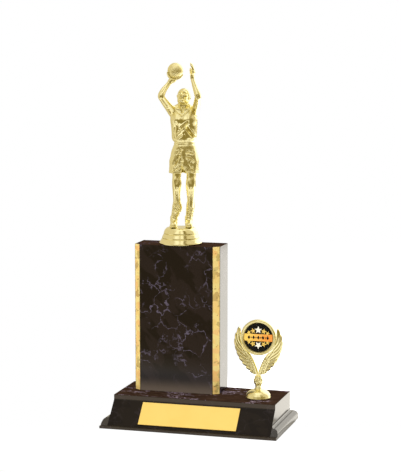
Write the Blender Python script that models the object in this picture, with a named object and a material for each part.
"""Column trophy: a marbled base with a sloped name-plate front, a marbled slab column with gold corner
trims, a gold ball-player figure on a stepped plinth, and a small winged medal holder beside the column.

Frame: origin at the centre of the footprint on the table, +X to the right, -Y to the front, +Z up.
All sizes below are in millimetres; MM turns them into metres when a mesh is made.
"""

import math

import bmesh
import bpy
from mathutils import Matrix, Vector

MM = 0.001

# ---------------------------------------------------------------- driving dimensions (mm)
GAP = 0.3          # clearance where a piece seats on a curved or cut neighbour, or can turn on it
BOND = 0.1         # glue line between flat faces

PAD_THICK = 0.8
PAD_RADIUS = 6.0

BASE_WIDTH = 140.0          # at the vertical ends of the block
BASE_HEIGHT = 25.6
BASE_TOP_FRONT_Y = -19.6
BASE_REAR_Y = 34.6
TOP_BAND = 4.0              # upright strip above the sloped front
SLOPE_FOOT_Y = -36.9
BOARD_THICK = 2.2
BOARD_FRONT_Y = -40.6
MOULDING_OUT = 6.0          # how far the foot moulding stands out from the block
MOULDING_HIGH = 7.6

PLATE_LONG = 84.5
PLATE_TALL = 21.4
PLATE_THICK = 0.6
PLATE_CENTRE_X = -1.4
PLATE_FOOT = 2.4            # slope length left free below the plate
TAPE_THICK = 0.2

COLUMN_X = -22.1
COLUMN_Y = 17.1
COLUMN_WIDTH = 75.0
COLUMN_DEPTH = 28.8
COLUMN_HIGH = 125.4
CHAMFER_X = 5.1
CHAMFER_Y = 4.1
TRIM_THICK = 0.8

ROD_RADIUS = 2.4
ROD_HOLE_RADIUS = 2.9
DOWEL_RADIUS = 3.0
DOWEL_LONG = 20.0
DOWEL_SPREAD = 22.0
RECESS_RADIUS = 8.0
RECESS_DEEP = 5.0           # into the block, above the board
NUT_ACROSS = 8.0
NUT_HIGH = 4.0
WASHER_RADIUS = 6.0
WASHER_THICK = 1.0

PLINTH_RADIUS = 18.1
PLINTH_HIGH = 14.0
BALL_RADIUS = 6.5
FIGURE_TURN = math.radians(16.0)   # the figure's heading, about the rod

HOLDER_X = 50.0
HOLDER_Y = 2.4
RING_RADIUS = 15.1
RING_HIGH = 50.9            # ring centre above the base top
INSERT_RADIUS = 12.3
STUD_RADIUS = 1.9
STUD_REACH = 4.0            # how far the stud goes up into the holder's foot
HOLDER_NUT_ACROSS = 7.0
HOLDER_NUT_HIGH = 3.2

# ---------------------------------------------------------------- derived places (mm)
BOARD_LOW = PAD_THICK
BOARD_TOP = BOARD_LOW + BOARD_THICK
BLOCK_LOW = BOARD_TOP + BOND
COLUMN_LOW = BASE_HEIGHT + BOND
COLUMN_TOP = COLUMN_LOW + COLUMN_HIGH
FIGURE_LOW = COLUMN_TOP + GAP
BOARD_WIDTH = BASE_WIDTH + 2 * MOULDING_OUT
BOARD_REAR_Y = BASE_REAR_Y + MOULDING_OUT
RECESS_TOP = BLOCK_LOW + RECESS_DEEP
SLOPE_TOP_Z = BASE_HEIGHT - TOP_BAND


# ---------------------------------------------------------------- materials and small helpers
def material(name, colour, roughness, metallic):
    found = bpy.data.materials.get(name)
    if found:
        return found
    made = bpy.data.materials.new(name)
    made.use_nodes = True
    shader = made.node_tree.nodes["Principled BSDF"]
    shader.inputs["Base Color"].default_value = (*colour, 1.0)
    shader.inputs["Roughness"].default_value = roughness
    shader.inputs["Metallic"].default_value = metallic
    return made


MATERIALS = {
    "marble": ("dark_marble", (0.030, 0.023, 0.018), 0.12, 0.0),
    "gold": ("gold_plating", (0.86, 0.73, 0.35), 0.15, 1.0),
    "foil": ("gold_foil", (0.86, 0.62, 0.22), 0.3, 1.0),
    "plate": ("gold_plate", (0.90, 0.66, 0.25), 0.35, 1.0),
    "steel": ("zinc_steel", (0.62, 0.62, 0.60), 0.35, 1.0),
    "wood": ("dowel_wood", (0.62, 0.45, 0.27), 0.7, 0.0),
    "board": ("edge_board", (0.10, 0.09, 0.08), 0.5, 0.0),
    "felt": ("felt_pad", (0.02, 0.02, 0.02), 0.95, 0.0),
    "tape": ("adhesive_tape", (0.75, 0.75, 0.70), 0.6, 0.0),
    "print": ("printed_disc", (0.02, 0.02, 0.02), 0.3, 0.0),
    "resin": ("clear_resin", (0.9, 0.9, 0.9), 0.05, 0.0),
}


def add_object(name, mesh, look, location=(0, 0, 0), parent=None, smooth_angle=None):
    """A named node made from a bmesh in millimetres, placed by its location (mm) under its parent."""
    bmesh.ops.recalc_face_normals(mesh, faces=mesh.faces)
    bmesh.ops.scale(mesh, vec=(MM, MM, MM), verts=mesh.verts)
    data = bpy.data.meshes.new(name)
    mesh.to_mesh(data)
    mesh.free()
    made = bpy.data.objects.new(name, data)
    bpy.context.scene.collection.objects.link(made)
    made.location = Vector(location) * MM
    made.parent = parent
    if look:
        data.materials.append(material(*MATERIALS[look]))
    if smooth_angle:
        data.shade_smooth()
        data.set_sharp_from_angle(angle=math.radians(smooth_angle))
    return made


def add_cutter(name, mesh, location=(0, 0, 0), parent=None):
    made = add_object(name, mesh, None, location, parent)
    made.hide_render = True
    made.display_type = "WIRE"
    return made


def cut(target, cutter):
    modifier = target.modifiers.new("cut_" + cutter.name, "BOOLEAN")
    modifier.operation = "DIFFERENCE"
    modifier.object = cutter
    modifier.solver = "EXACT"


def empty(name, location, turn=0.0, parent=None):
    made = bpy.data.objects.new(name, None)
    bpy.context.scene.collection.objects.link(made)
    made.location = Vector(location) * MM
    made.rotation_euler = (0.0, 0.0, turn)
    made.parent = parent
    return made


# ---------------------------------------------------------------- shapes (all return a bmesh in mm)
def prism(outline, low, high, axis="Z"):
    """An outline of (u, v) points, extruded along an axis: X takes (y, z), Y takes (x, z), Z takes (x, y)."""
    place = {
        "X": lambda u, v, w: (w, u, v),
        "Y": lambda u, v, w: (u, w, v),
        "Z": lambda u, v, w: (u, v, w),
    }[axis]
    mesh = bmesh.new()
    face = mesh.faces.new([mesh.verts.new(place(u, v, low)) for u, v in outline])
    extruded = bmesh.ops.extrude_face_region(mesh, geom=[face])
    moved = [item for item in extruded["geom"] if isinstance(item, bmesh.types.BMVert)]
    shift = Vector(place(0, 0, high - low))
    bmesh.ops.translate(mesh, vec=shift, verts=moved)
    return mesh


def block(x0, x1, y0, y1, z0, z1):
    return prism([(x0, y0), (x1, y0), (x1, y1), (x0, y1)], z0, z1)


def arc(centre, radius, start, end, steps):
    """Points on a circle from start to end degrees."""
    points = []
    for step in range(steps + 1):
        angle = math.radians(start + (end - start) * step / steps)
        points.append((centre[0] + radius * math.cos(angle), centre[1] + radius * math.sin(angle)))
    return points


def turned(profile, segments=48, axis="Z"):
    """A closed solid turned from (radius, height) points; a profile that touches the axis is capped there."""
    mesh = bmesh.new()
    rings = []
    for radius, height in profile:
        if radius < 1e-6:
            rings.append([mesh.verts.new((0, 0, height))])
            continue
        ring = []
        for step in range(segments):
            angle = 2 * math.pi * step / segments
            ring.append(mesh.verts.new((radius * math.cos(angle), radius * math.sin(angle), height)))
        rings.append(ring)
    pairs = list(zip(rings, rings[1:]))
    if len(rings[0]) > 1 and len(rings[-1]) > 1:
        pairs.append((rings[-1], rings[0]))
    for lower, upper in pairs:
        for step in range(segments):
            follow = (step + 1) % segments
            corners = [lower[step % len(lower)], lower[follow % len(lower)]]
            corners += [upper[follow % len(upper)], upper[step % len(upper)]]
            unique = list(dict.fromkeys(corners))
            if len(unique) > 2:
                mesh.faces.new(unique)
    if axis == "Y":
        bmesh.ops.rotate(mesh, verts=mesh.verts, matrix=Matrix.Rotation(math.pi / 2, 3, "X"))
    return mesh


def disc(radius, low, high, segments=48, axis="Z"):
    return turned([(0, low), (radius, low), (radius, high), (0, high)], segments, axis)


def tube(outer, inner, low, high, segments=48):
    return turned([(inner, low), (outer, low), (outer, high), (inner, high)], segments)


def hexagon(across):
    corner = across / math.sqrt(3)
    return [(corner * math.cos(math.radians(60 * k)), corner * math.sin(math.radians(60 * k))) for k in range(6)]


def smooth_line(points, steps):
    """A Catmull-Rom curve through 2D points, including both ends."""
    ends = [points[0], *points, points[-1]]
    curve = []
    for before, start, end, after in zip(ends, ends[1:], ends[2:], ends[3:]):
        for step in range(steps):
            t = step / steps
            curve.append(
                tuple(
                    0.5
                    * (
                        2 * b
                        + (c - a) * t
                        + (2 * a - 5 * b + 4 * c - d) * t * t
                        + (3 * b - a - 3 * c + d) * t * t * t
                    )
                    for a, b, c, d in zip(before, start, end, after)
                )
            )
    return [*curve, points[-1]]


# ---------------------------------------------------------------- base
def slope_y(z):
    """Where the sloped front lies at a height."""
    share = (z - BOARD_TOP) / (SLOPE_TOP_Z - BOARD_TOP)
    return SLOPE_FOOT_Y + share * (BASE_TOP_FRONT_Y - SLOPE_FOOT_Y)


def moulding_profile():
    """Foot moulding seen end-on: (outward, height above its foot), a quarter round, a quirk and a small cove."""
    quirk_out = 2.0
    quirk_high = MOULDING_HIGH - 2.1
    reach = MOULDING_OUT - quirk_out
    round_over = []
    for degrees in range(0, 91, 10):
        turn = math.radians(degrees)
        round_over.append((quirk_out + reach * math.cos(turn), quirk_high * math.sin(turn)))
    cove = []
    for degrees in (0, 30, 60, 90):
        turn = math.radians(degrees)
        cove.append((0.9 - 0.8 * math.sin(turn), quirk_high + 0.3 + 1.8 * (1 - math.cos(turn))))
    return [(0.0, 0.0), *round_over, *cove, (0.0, MOULDING_HIGH)]


def make_base_board():
    half = BOARD_WIDTH / 2
    board = add_object("base_board", block(-half, half, BOARD_FRONT_Y, BOARD_REAR_Y, BOARD_LOW, BOARD_TOP), "board")
    for name, x, y in (("rod", COLUMN_X, COLUMN_Y), ("stud", HOLDER_X, HOLDER_Y)):
        hole = add_cutter("board_hole_" + name, disc(RECESS_RADIUS, -1.0, BOARD_TOP + 1.0, 32), (x, y, 0))
        cut(board, hole)
    return board


def make_base_block():
    half = BASE_WIDTH / 2
    outline = [
        (slope_y(BLOCK_LOW), BLOCK_LOW),
        (BASE_TOP_FRONT_Y, SLOPE_TOP_Z),
        (BASE_TOP_FRONT_Y, BASE_HEIGHT),
        (BASE_REAR_Y, BASE_HEIGHT),
        (BASE_REAR_Y, BLOCK_LOW),
    ]
    body = add_object("base_block", prism(outline, -half, half, "X"), "marble")
    for name, x, y, bore in (
        ("rod", COLUMN_X, COLUMN_Y, ROD_HOLE_RADIUS),
        ("stud", HOLDER_X, HOLDER_Y, STUD_RADIUS + 0.5),
    ):
        through = disc(bore, 0.0, BASE_HEIGHT + 2.0, 24)
        cut(body, add_cutter("block_bore_" + name, through, (x, y, 0)))
        recess = disc(RECESS_RADIUS, 0.0, RECESS_TOP, 32)
        cut(body, add_cutter("block_recess_" + name, recess, (x, y, 0)))
    for side in (-1, 1):
        socket = disc(DOWEL_RADIUS + GAP, BASE_HEIGHT - DOWEL_LONG / 2 - 0.5, BASE_HEIGHT + 2.0, 24)
        cut(body, add_cutter("block_socket_%d" % side, socket, (COLUMN_X + side * DOWEL_SPREAD, COLUMN_Y, 0)))
    return body


def mitre_cutter(name, side, keep_rear):
    """Covers everything on one side of the diagonal that leaves the block's rear corner."""
    reach = 40.0
    gap = BOND * 0.7
    if keep_rear:
        outline = [(-1, -1 + gap), (reach, reach + gap), (2 * reach, reach + gap), (2 * reach, -1 + gap)]
    else:
        outline = [(-1, -1 - gap), (reach, reach - gap), (reach, 2 * reach), (-1, 2 * reach)]
    corner = [(side * (BASE_WIDTH / 2 + u), BASE_REAR_Y + v) for u, v in outline]
    return add_cutter(name, prism(corner, BLOCK_LOW - 5, BLOCK_LOW + 15))


def make_foot_mouldings():
    """Left, right and rear strips, mitred at the rear corners; the side strips end on the sloped front."""
    half = BASE_WIDTH / 2 + BOND
    profile = moulding_profile()
    far = 20.0
    for side, name in ((-1, "foot_moulding_left"), (1, "foot_moulding_right")):
        outline = [(side * (half + out), BLOCK_LOW + up) for out, up in profile]
        strip = prism(outline, SLOPE_FOOT_Y - far, BOARD_REAR_Y + far, "Y")
        strip = add_object(name, strip, "marble", smooth_angle=30)
        low = BLOCK_LOW - 5
        high = BLOCK_LOW + 15
        front = [(slope_y(low), low), (SLOPE_FOOT_Y - 2 * far, low)]
        front += [(SLOPE_FOOT_Y - 2 * far, high), (slope_y(high), high)]
        cut(strip, add_cutter(name + "_front_cut", prism(front, -far, far, "X"), (side * half, 0, 0)))
        cut(strip, mitre_cutter(name + "_mitre", side, keep_rear=False))
    outline = [(BASE_REAR_Y + BOND + out, BLOCK_LOW + up) for out, up in profile]
    rear = prism(outline, -half - far, half + far, "X")
    rear = add_object("foot_moulding_rear", rear, "marble", smooth_angle=30)
    for side in (-1, 1):
        cut(rear, mitre_cutter("foot_moulding_rear_mitre_%d" % side, side, keep_rear=True))


def make_name_plate():
    """Gold plate and its tape, lying on the sloped front."""
    along = Vector((0, BASE_TOP_FRONT_Y - SLOPE_FOOT_Y, SLOPE_TOP_Z - BOARD_TOP)).normalized()
    lean = math.atan2(along.z, along.y)
    foot = Vector((PLATE_CENTRE_X, SLOPE_FOOT_Y, BOARD_TOP)) + along * (PLATE_FOOT + PLATE_TALL / 2)
    slope = empty("name_plate_place", foot)
    slope.rotation_euler = (lean, 0, 0)
    half = PLATE_LONG / 2
    tall = PLATE_TALL / 2
    inset = 1.0
    tape = block(-half + inset, half - inset, -tall + inset, tall - inset, BOND, BOND + TAPE_THICK)
    add_object("name_plate_tape", tape, "tape", parent=slope)
    low = 2 * BOND + TAPE_THICK
    plate = add_object("name_plate", block(-half, half, -tall, tall, low, low + PLATE_THICK), "plate", parent=slope)
    bevel = plate.modifiers.new("edge", "BEVEL")
    bevel.width = 0.15 * MM
    bevel.segments = 1


def make_foot_pads():
    inset = 12.0
    half = BOARD_WIDTH / 2 - inset
    places = [(-half, BOARD_FRONT_Y + inset), (half, BOARD_FRONT_Y + inset)]
    places += [(-half, BOARD_REAR_Y - inset), (half, BOARD_REAR_Y - inset)]
    for number, (x, y) in enumerate(places, 1):
        add_object("foot_pad_%d" % number, disc(PAD_RADIUS, 0.0, PAD_THICK - 0.05, 24), "felt", (x, y, 0))


# ---------------------------------------------------------------- column
def make_column():
    half = COLUMN_WIDTH / 2
    front = -COLUMN_DEPTH / 2
    rear = COLUMN_DEPTH / 2
    # The front corners are cut back to take the trims, so that the trims finish flush on the chamfers.
    seat = TRIM_THICK + BOND
    slant = math.hypot(CHAMFER_X, CHAMFER_Y)
    back_x = seat * CHAMFER_Y / slant
    back_y = seat * CHAMFER_X / slant
    outline = [
        (-half, rear),
        (-half, front + CHAMFER_Y + back_y * 0.2),
        (-half + back_x, front + CHAMFER_Y + back_y),
        (-half + CHAMFER_X + back_x, front + back_y),
        (-half + CHAMFER_X + back_x * 0.2 + 0.3, front),
    ]
    outline += [(-x, y) for x, y in reversed(outline)]
    column = add_object("column_block", prism(outline, COLUMN_LOW, COLUMN_TOP), "marble", (COLUMN_X, COLUMN_Y, 0))
    bore = disc(ROD_HOLE_RADIUS, COLUMN_LOW - 2, COLUMN_TOP + 2, 24)
    cut(column, add_cutter("column_bore", bore, (COLUMN_X, COLUMN_Y, 0)))
    for side in (-1, 1):
        socket = disc(DOWEL_RADIUS + GAP, COLUMN_LOW - 2, COLUMN_LOW + DOWEL_LONG / 2 + 0.5, 24)
        cut(column, add_cutter("column_socket_%d" % side, socket, (COLUMN_X + side * DOWEL_SPREAD, COLUMN_Y, 0)))


def make_column_trims():
    """A thin gold strip on each front chamfer."""
    half = COLUMN_WIDTH / 2
    front = -COLUMN_DEPTH / 2
    along = Vector((CHAMFER_X, -CHAMFER_Y)).normalized()
    inward = Vector((CHAMFER_Y, CHAMFER_X)).normalized()
    outer = Vector((-half, front + CHAMFER_Y))
    inner = Vector((-half + CHAMFER_X, front))
    strip = [
        outer + along * 0.15,
        inner - along * 0.15,
        inner - along * 0.25 + inward * TRIM_THICK,
        outer + along * 0.25 + inward * TRIM_THICK,
    ]
    for side, name in ((1, "gold_trim_left"), (-1, "gold_trim_right")):
        outline = [(side * point.x, point.y) for point in strip]
        add_object(name, prism(outline, COLUMN_LOW, COLUMN_TOP), "foil", (COLUMN_X, COLUMN_Y, 0))


def make_column_fixings():
    place = (COLUMN_X, COLUMN_Y, 0)
    rod_low = BOARD_LOW + 0.6
    rod_high = FIGURE_LOW + 8.0
    add_object("tie_rod", disc(ROD_RADIUS, rod_low, rod_high, 24), "steel", place, smooth_angle=40)
    washer_low = RECESS_TOP - BOND - WASHER_THICK
    bore = ROD_RADIUS + 0.2
    add_object("tie_rod_washer", tube(WASHER_RADIUS, bore, washer_low, RECESS_TOP - BOND, 32), "steel", place)
    add_object("tie_rod_nut", hex_nut(NUT_ACROSS, bore, washer_low - BOND - NUT_HIGH, NUT_HIGH), "steel", place)
    for number, side in enumerate((-1, 1), 1):
        low = BASE_HEIGHT - DOWEL_LONG / 2
        peg = turned(
            [(0, low), (DOWEL_RADIUS - 0.6, low), (DOWEL_RADIUS, low + 0.6)]
            + [(DOWEL_RADIUS, low + DOWEL_LONG - 0.6), (DOWEL_RADIUS - 0.6, low + DOWEL_LONG), (0, low + DOWEL_LONG)],
            24,
        )
        where = (COLUMN_X + side * DOWEL_SPREAD, COLUMN_Y, 0)
        add_object("column_dowel_%d" % number, peg, "wood", where, smooth_angle=40)


def hex_nut(across, bore, low, high):
    """A plain hexagon nut; the bore's ring of points is bridged to the hexagon's corners."""
    mesh = bmesh.new()
    loops = []
    for z in (low, low + high):
        outer = [mesh.verts.new((x, y, z)) for x, y in subdivided(hexagon(across), 4)]
        inner = []
        for step in range(24):
            angle = 2 * math.pi * step / 24
            inner.append(mesh.verts.new((bore * math.cos(angle), bore * math.sin(angle), z)))
        loops.append((outer, inner))
    (outer_low, inner_low), (outer_high, inner_high) = loops
    for step in range(24):
        follow = (step + 1) % 24
        mesh.faces.new([outer_low[step], inner_low[step], inner_low[follow], outer_low[follow]])
        mesh.faces.new([outer_high[step], outer_high[follow], inner_high[follow], inner_high[step]])
        mesh.faces.new([outer_low[step], outer_low[follow], outer_high[follow], outer_high[step]])
        mesh.faces.new([inner_low[step], inner_high[step], inner_high[follow], inner_low[follow]])
    return mesh


def subdivided(corners, parts):
    points = []
    for (x0, y0), (x1, y1) in zip(corners, corners[1:] + corners[:1]):
        for step in range(parts):
            t = step / parts
            points.append((x0 + (x1 - x0) * t, y0 + (y1 - y0) * t))
    return points


# ---------------------------------------------------------------- figure
def plinth_profile():
    """Stepped, flared plinth over a hollow underside with a central boss, as (radius, height) points."""
    outside = [(PLINTH_RADIUS - 0.4, 0.0), (PLINTH_RADIUS, 0.5), (PLINTH_RADIUS, 1.2)]
    outside += [(PLINTH_RADIUS - 0.9, 2.6), (16.3, 4.3), (15.7, 4.5), (15.8, 5.0)]
    outside += [(15.7, 5.8), (15.1, 7.0), (14.7, 8.2), (14.1, 8.4), (14.3, 8.9)]
    outside += [(14.2, 9.8), (13.5, 11.6), (12.4, 13.1), (11.2, 13.9), (9.0, PLINTH_HIGH), (0.0, PLINTH_HIGH)]
    inside = [(0.0, 10.6), (2.9, 10.6), (2.9, 4.6), (2.9, 0.2), (6.4, 0.2), (6.4, 11.0), (9.0, 11.2)]
    inside += [(12.0, 9.0), (13.0, 6.0), (15.4, 2.4), (16.2, 0.0)]
    return outside, inside


def make_plinth(parent):
    outside, inside = plinth_profile()
    plinth = add_object("figure_plinth", turned_shell(outside, inside, 40), "gold", parent=parent, smooth_angle=35)
    pocket = prism(hexagon(NUT_ACROSS + 0.4), -1.0, NUT_HIGH + 0.7)
    cut(plinth, add_cutter("plinth_nut_pocket", pocket, parent=parent))
    nut = hex_nut(NUT_ACROSS, ROD_RADIUS + 0.2, 0.4, NUT_HIGH)
    add_object("figure_nut", nut, "steel", parent=parent)


def turned_shell(outside, inside, segments):
    """A shell whose outside ends on the axis at the top and whose inside starts on the axis below it."""
    mesh = bmesh.new()
    rings = []
    for radius, height in [*inside, *outside]:
        if radius < 1e-6:
            rings.append([mesh.verts.new((0, 0, height))])
            continue
        angles = [2 * math.pi * step / segments for step in range(segments)]
        rings.append([mesh.verts.new((radius * math.cos(a), radius * math.sin(a), height)) for a in angles])
    for lower, upper in zip(rings, rings[1:]):
        for step in range(segments):
            follow = (step + 1) % segments
            corners = [lower[step % len(lower)], lower[follow % len(lower)]]
            corners += [upper[follow % len(upper)], upper[step % len(upper)]]
            unique = list(dict.fromkeys(corners))
            if len(unique) > 2:
                mesh.faces.new(unique)
    return mesh


# Body landmarks, above the plinth's foot, facing -Y: (x, y, z, radius).
ANKLE_R, ANKLE_L = (-5.7, 1.6, 19.5), (6.6, 2.2, 19.5)
KNEE_R, KNEE_L = (-3.2, -2.6, 46.5), (8.7, -2.0, 46.5)
HIP_R, HIP_L = (-1.6, 1.0, 74.0), (8.0, 1.0, 74.0)
SHOULDER_R, SHOULDER_L = (-6.6, 0.4, 112.0), (12.2, 0.4, 112.0)
ELBOW_R, ELBOW_L = (-15.7, -13.0, 124.8), (14.8, -15.0, 124.8)
WRIST_R, WRIST_L = (-9.2, -5.0, 135.2), (9.9, -9.0, 140.6)
NECK, HEAD = (2.6, 1.4, 115.5), (2.65, -0.4, 125.2)
BALL = (-4.2, -6.5, 146.0)
MITTEN_L = (9.6, -9.2, 147.0)


def add_ball(mesh, centre, radii, matrix=None):
    """An ellipsoid at centre; matrix turns it first."""
    turn = matrix.to_4x4() if matrix else Matrix.Identity(4)
    where = Matrix.Translation(centre) @ turn @ Matrix.Diagonal((*radii, 1.0))
    bmesh.ops.create_icosphere(mesh, subdivisions=3, radius=1.0, matrix=where)


def add_limb(mesh, start, start_radius, end, end_radius):
    """A tapered limb with round ends, from overlapping closed shapes that the remesh joins."""
    start, end = Vector(start), Vector(end)
    add_ball(mesh, start, (start_radius,) * 3)
    add_ball(mesh, end, (end_radius,) * 3)
    axis = end - start
    turn = axis.to_track_quat("Z", "Y").to_matrix().to_4x4()
    where = Matrix.Translation((start + end) / 2) @ turn
    bmesh.ops.create_cone(
        mesh, cap_ends=True, segments=20, radius1=start_radius, radius2=end_radius, depth=axis.length, matrix=where
    )


def between(start, end, share):
    return Vector(start).lerp(Vector(end), share)


def add_leg(mesh, hip, knee, ankle, toe_x):
    """Bare leg down to a ribbed sock and a high-top shoe."""
    add_limb(mesh, hip, 5.4, between(hip, knee, 0.6), 4.1)
    add_limb(mesh, between(hip, knee, 0.6), 4.1, knee, 3.5)
    calf = between(knee, ankle, 0.35) + Vector((0, 1.4, 0))
    add_limb(mesh, knee, 3.3, calf, 3.5)
    add_limb(mesh, calf, 3.5, ankle, 3.0)
    sole = 16.0
    heel = (ankle[0], ankle[1] + 3.0, sole + 1.8)
    ball_of_foot = (toe_x, ankle[1] - 6.2, sole + 1.2)
    add_limb(mesh, ankle, 3.1, heel, 3.0)
    add_limb(mesh, heel, 2.9, ball_of_foot, 3.1)
    add_limb(mesh, ankle, 2.9, between(heel, ball_of_foot, 0.75), 2.7)


def add_torso(mesh):
    """Shorts, waist, jersey and shoulders as stacked ellipsoids."""
    centre_x = 3.05
    stack = [
        (62.5, 12.4, 8.6, 4.0),
        (70.0, 11.8, 8.4, 8.0),
        (78.0, 10.4, 7.8, 7.5),
        (86.5, 8.0, 6.4, 6.0),
        (92.0, 10.0, 7.4, 5.5),
        (101.0, 11.0, 8.0, 9.0),
        (109.0, 10.6, 7.4, 6.0),
    ]
    for z, wide, deep, tall in stack:
        add_ball(mesh, (centre_x, 0.8, z), (wide, deep, tall))
    for side, hip, knee in ((-1, HIP_R, KNEE_R), (1, HIP_L, KNEE_L)):
        hem = (centre_x + side * 6.2, -0.2, 63.8)
        add_limb(mesh, hip, 6.0, hem, 6.2)
    add_limb(mesh, SHOULDER_R, 4.2, SHOULDER_L, 4.2)


def add_arm(mesh, shoulder, elbow, wrist):
    add_limb(mesh, shoulder, 4.0, elbow, 2.7)
    fore = between(elbow, wrist, 0.35)
    add_limb(mesh, elbow, 2.6, fore, 2.6)
    add_limb(mesh, fore, 2.6, wrist, 1.8)


def make_player(parent):
    """The player is one moulding, from soles to raised hands; a voxel remesh melts the overlapping forms together."""
    mesh = bmesh.new()
    add_leg(mesh, HIP_R, KNEE_R, ANKLE_R, -6.4)
    add_leg(mesh, HIP_L, KNEE_L, ANKLE_L, 7.2)
    add_torso(mesh)
    add_arm(mesh, SHOULDER_R, ELBOW_R, WRIST_R)
    add_arm(mesh, SHOULDER_L, ELBOW_L, WRIST_L)
    # Right hand: a cupped palm and spread fingers under and behind the ball.
    add_limb(mesh, WRIST_R, 1.8, (-6.2, -4.0, 138.6), 2.6)
    for finger in range(4):
        tip = (-8.6 + 3.4 * finger, -0.6 + 0.2 * finger, 143.5 + 0.5 * finger)
        add_limb(mesh, (-6.4 + 1.0 * finger, -3.0, 138.9), 1.4, tip, 0.9)
    add_limb(mesh, (-6.6, -4.6, 138.2), 1.5, (-10.4, -6.4, 141.6), 1.1)
    # Left hand: fingers together, guiding.
    add_limb(mesh, WRIST_L, 1.7, MITTEN_L, 1.9)
    add_limb(mesh, MITTEN_L, 1.8, (8.3, -10.2, 151.6), 0.8)
    add_limb(mesh, (10.2, -9.6, 143.4), 1.4, (9.2, -12.4, 147.6), 0.9)
    # Neck and head, tilted back.
    add_limb(mesh, NECK, 4.0, HEAD, 3.7)
    tilt = Matrix.Rotation(math.radians(-33), 3, "X")
    add_ball(mesh, HEAD, (5.5, 6.6, 6.7), tilt)
    jaw = Vector(HEAD) + tilt @ Vector((0, -2.4, -3.8))
    add_ball(mesh, jaw, (3.9, 4.3, 4.4), tilt)

    player = add_object("player", mesh, "gold", parent=parent)
    remesh = player.modifiers.new("melt", "REMESH")
    remesh.mode = "VOXEL"
    remesh.voxel_size = 0.9 * MM
    thin = player.modifiers.new("thin", "DECIMATE")
    thin.ratio = PLAYER_KEEP
    sole = block(-30, 30, -30, 30, -5, PLINTH_HIGH + GAP)
    cut(player, add_cutter("sole_cut", sole, parent=parent))
    pocket = bmesh.new()
    bmesh.ops.create_icosphere(pocket, subdivisions=4, radius=BALL_RADIUS + GAP, matrix=Matrix.Translation(BALL))
    cut(player, add_cutter("ball_pocket", pocket, parent=parent))


PLAYER_KEEP = 0.16


def make_ball(parent):
    mesh = bmesh.new()
    bmesh.ops.create_uvsphere(mesh, u_segments=28, v_segments=14, radius=BALL_RADIUS)
    add_object("basketball", mesh, "gold", BALL, parent, smooth_angle=60)


# ---------------------------------------------------------------- winged holder
def holder_foot_profile():
    """Low dome, waisted stem and collar over a blind stud hole, as (radius, height above the base top)."""
    socket = STUD_RADIUS + 0.2
    inside = [(0.0, STUD_REACH + 0.2), (socket, STUD_REACH + 0.2), (socket, 0.0)]
    dome = [(10.6, 0.0), (10.6, 0.8)]
    for degrees in (15, 30, 45, 60):
        turn = math.radians(degrees)
        dome.append((10.4 * math.cos(turn), 0.9 + 5.6 * math.sin(turn)))
    stem = [(4.2, 6.3), (2.8, 7.2), (2.5, 8.4), (2.8, 10.4), (3.7, 12.6), (3.9, 13.8), (3.4, 15.2), (3.0, 16.6)]
    return [*dome, *stem, (3.2, 18.6), (0.0, 18.6)], inside


def wing_outline():
    """Right wing seen from the front, as (x, height above the base top): outer feather edge, then inner edge."""
    outer = [(0.4, 19.0), (4.6, 19.3), (9.8, 22.2), (13.6, 26.4), (16.9, 32.0), (19.8, 39.6), (21.0, 47.2)]
    outer += [(19.2, 52.8), (16.4, 59.7)]
    inner = [(15.7, 58.8), (15.4, 52.0), (12.5, 40.6), (8.4, 35.2), (4.8, 31.0), (0.4, 21.6)]
    return smooth_line(outer, 4) + smooth_line(inner, 4)


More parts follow.
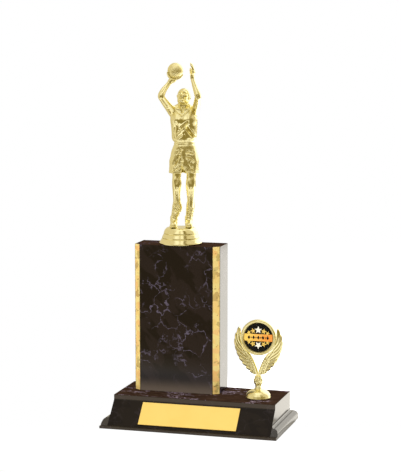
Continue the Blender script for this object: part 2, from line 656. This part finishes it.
def make_holder(parent):
    low = GAP
    outside, inside = holder_foot_profile()
    foot = turned_shell(outside, inside, 32)
    add_object("holder_foot", foot, "gold", (0, 0, low), parent, smooth_angle=50)
    ring_centre = (0, 0, low + RING_HIGH)
    for side, name in ((-1, "wing_left"), (1, "wing_right")):
        outline = [(side * x, z) for x, z in wing_outline()]
        wing = add_object(name, prism(outline, -1.7, 1.7, "Y"), "gold", (0, 0, low), parent)
        clear = disc(RING_RADIUS + GAP, -10, 10, 64, "Y")
        cut(wing, add_cutter(name + "_ring_cut", clear, ring_centre, parent))
        edge = wing.modifiers.new("edge", "BEVEL")
        edge.width = 0.5 * MM
        edge.segments = 2
        edge.limit_method = "ANGLE"
        edge.angle_limit = math.radians(60)
    # The pan's open side faces the front; turning about Y puts a profile's +height towards -Y.
    rim = [(0, -1.8), (RING_RADIUS - 0.6, -1.8), (RING_RADIUS, -1.2), (RING_RADIUS, 0.9), (RING_RADIUS - 0.7, 1.7)]
    rim += [(INSERT_RADIUS + 0.9, 1.7), (INSERT_RADIUS + 0.3, 1.1), (INSERT_RADIUS + 0.3, 0.2), (0, 0.2)]
    add_object("medal_ring", turned(rim, 48, "Y"), "gold", ring_centre, parent, smooth_angle=35)
    insert = disc(INSERT_RADIUS, 0.3, 0.7, 48, "Y")
    add_object("medal_insert", insert, "print", ring_centre, parent, smooth_angle=35)
    dome = [(0, 0.8), (INSERT_RADIUS, 0.8), (INSERT_RADIUS, 0.9)]
    dome += [(INSERT_RADIUS * math.cos(math.radians(a)), 0.9 + 0.9 * math.sin(math.radians(a))) for a in (20, 40, 60, 75)]
    add_object("medal_lens", turned([*dome, (0, 1.8)], 48, "Y"), "resin", ring_centre, parent, smooth_angle=50)


def make_holder_fixings(parent):
    drop = -(BASE_HEIGHT + GAP)   # the holder's empty sits at the base top plus its clearance
    rod_low = BOARD_LOW + 0.6 + drop
    stud = disc(STUD_RADIUS, rod_low, STUD_REACH, 20)
    add_object("holder_stud", stud, "steel", (0, 0, GAP), parent, smooth_angle=40)
    washer_low = RECESS_TOP - BOND - 0.8 + drop
    bore = STUD_RADIUS + 0.2
    washer = tube(5.0, bore, washer_low, washer_low + 0.8, 32)
    add_object("holder_washer", washer, "steel", (0, 0, GAP), parent)
    nut = hex_nut(HOLDER_NUT_ACROSS, bore, washer_low - BOND - HOLDER_NUT_HIGH, HOLDER_NUT_HIGH)
    add_object("holder_nut", nut, "steel", (0, 0, GAP), parent)


def main():
    for old in list(bpy.data.objects):
        bpy.data.objects.remove(old)
    make_base_board()
    make_base_block()
    make_foot_mouldings()
    make_name_plate()
    make_foot_pads()
    make_column()
    make_column_trims()
    make_column_fixings()
    figure = empty("figure_axis", (COLUMN_X, COLUMN_Y, FIGURE_LOW), FIGURE_TURN)
    make_plinth(figure)
    make_player(figure)
    make_ball(figure)
    holder = empty("holder_axis", (HOLDER_X, HOLDER_Y, BASE_HEIGHT))
    make_holder(holder)
    make_holder_fixings(holder)


main()
